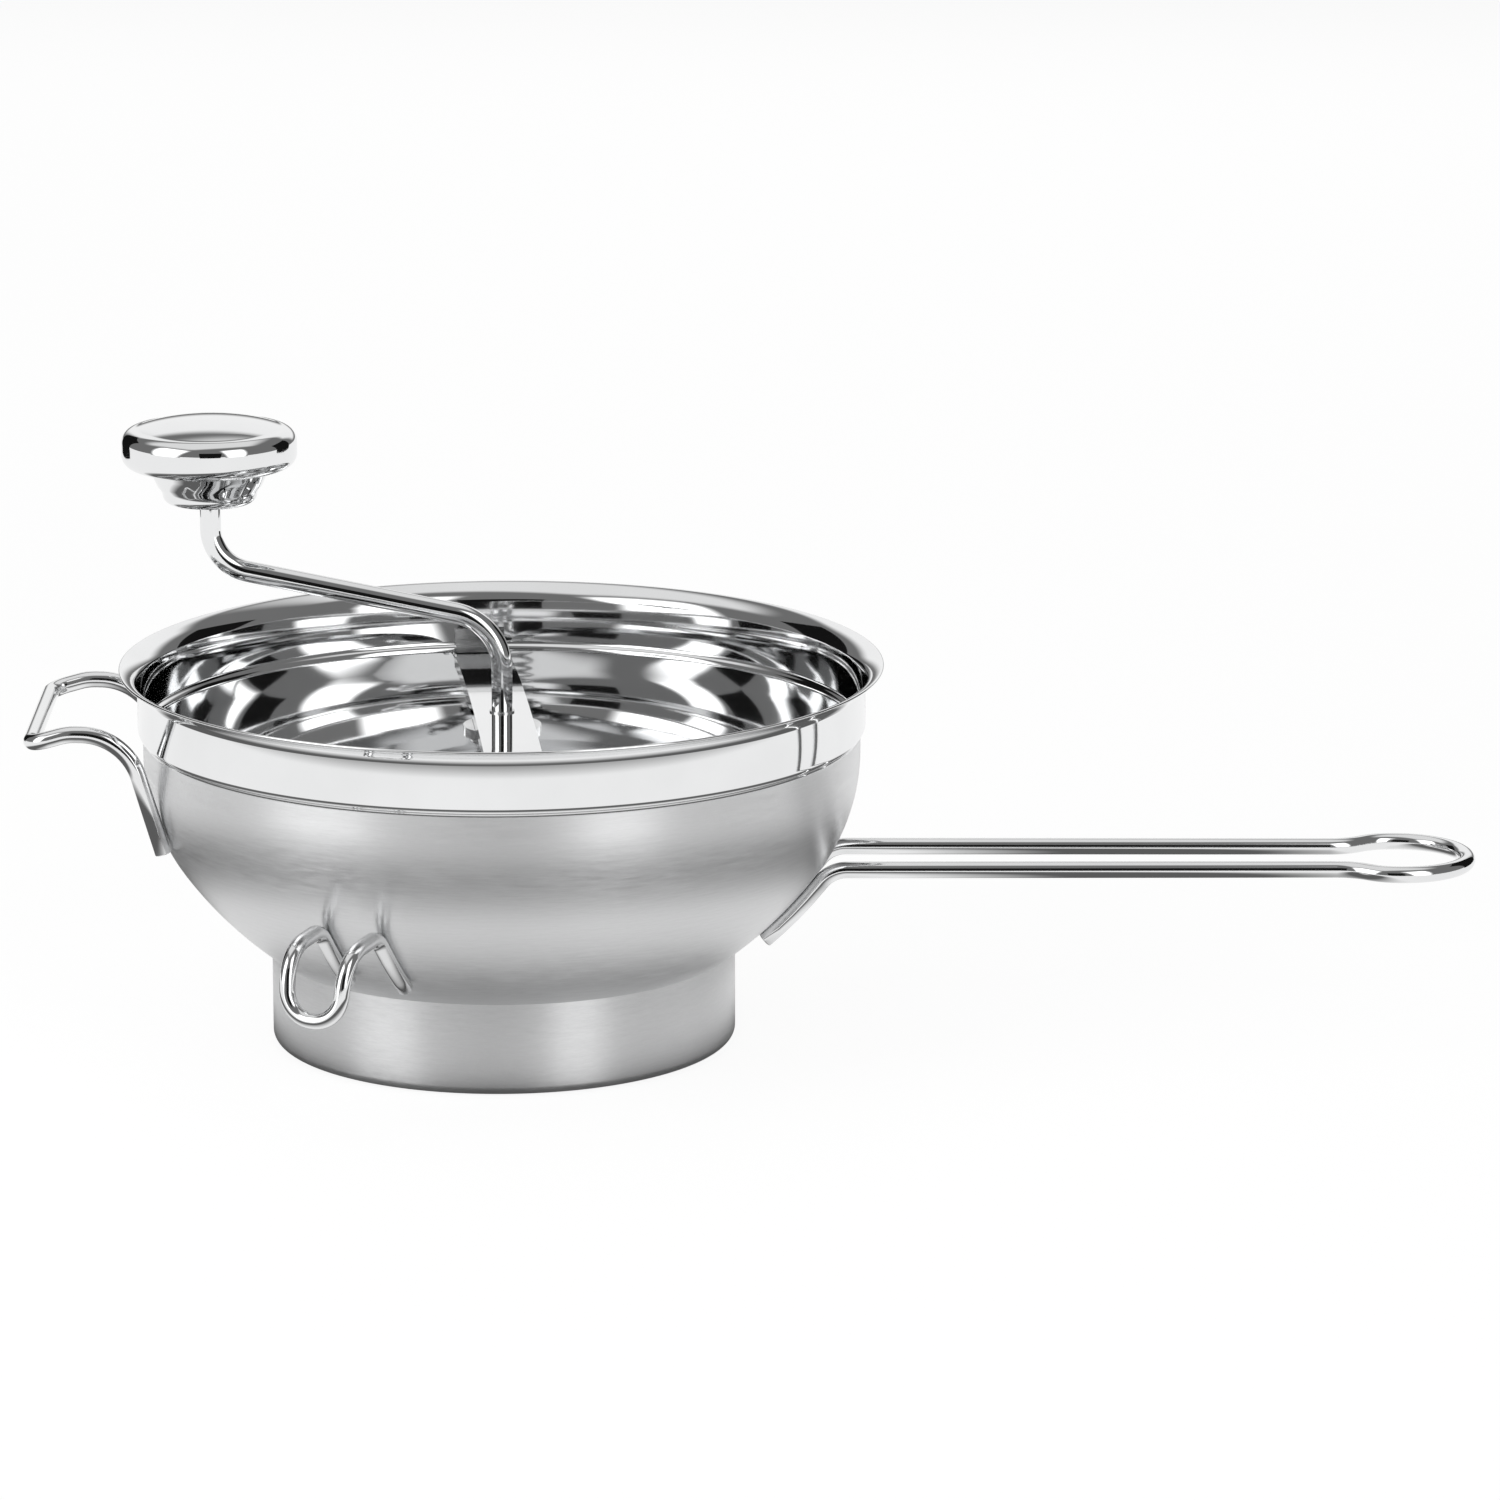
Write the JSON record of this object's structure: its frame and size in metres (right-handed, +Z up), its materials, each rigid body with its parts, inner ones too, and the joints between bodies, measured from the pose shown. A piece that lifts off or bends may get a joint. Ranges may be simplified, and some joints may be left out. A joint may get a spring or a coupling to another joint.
{
  "type": "rotary food mill",
  "caption": "Stainless rotary food mill: a round bowl on a foot ring, with a cranked rod that turns a sprung blade over a perforated disc, a wire handle and pan hooks.",
  "frame": {"origin": "centre of the plane that the foot stands on, on the shaft's axis", "axes": "+Z up along the shaft's axis, +X along the long handle away from the bowl"},
  "size_m": [0.4812, 0.256, 0.2104],
  "materials": {
    "polished_steel": "mirror-polished stainless steel",
    "satin_steel": "fine satin, brushed round the axis",
    "plain_steel": "bright rolled stainless sheet",
    "spring_steel": "drawn stainless wire and turned fasteners"
  },
  "bodies": {
    "mill": {"bowl": "satin_steel", "foot_ring": "satin_steel", "sieve_disc": "plain_steel", "disc_eyelet": "plain_steel", "long_handle": "polished_steel", "short_handle": "polished_steel", "pot_hook_front": "polished_steel", "pot_hook_rear": "polished_steel", "bar_lug_front": "plain_steel", "bar_lug_rear": "plain_steel"},
    "bar": {"crossbar": "polished_steel", "bar_bush": "polished_steel", "spring_cup": "plain_steel"},
    "crank": {"crank_rod": "polished_steel", "spring": "spring_steel", "spring_washer": "plain_steel", "blade": "polished_steel", "blade_hub": "polished_steel", "drive_pin": "spring_steel", "scraper": "plain_steel", "scraper_hub": "plain_steel", "end_nut": "spring_steel", "spindle_washer": "spring_steel", "spindle_nut": "spring_steel"},
    "knob": {"knob_shell": "polished_steel", "knob_cup": "polished_steel", "knob_bush": "polished_steel"}
  },
  "joints": [
    {"name": "crank_turn", "type": "hinge", "parent": "mill", "child": "crank", "pos_m": [0, 0, 0], "axis": [0, 0, 1], "continuous": true},
    {"name": "knob_spin", "type": "hinge", "parent": "crank", "child": "knob", "pos_m": [-0.096, 0, 0.19], "axis": [0, 0, 1], "continuous": true},
    {"name": "bar_press", "type": "slide", "parent": "mill", "child": "bar", "axis": [0, 0, -1], "range_m": [0, 0.005], "stiffness_N_per_m": 1500, "springref_m": -0.012, "deforming": ["spring"]}
  ]
}
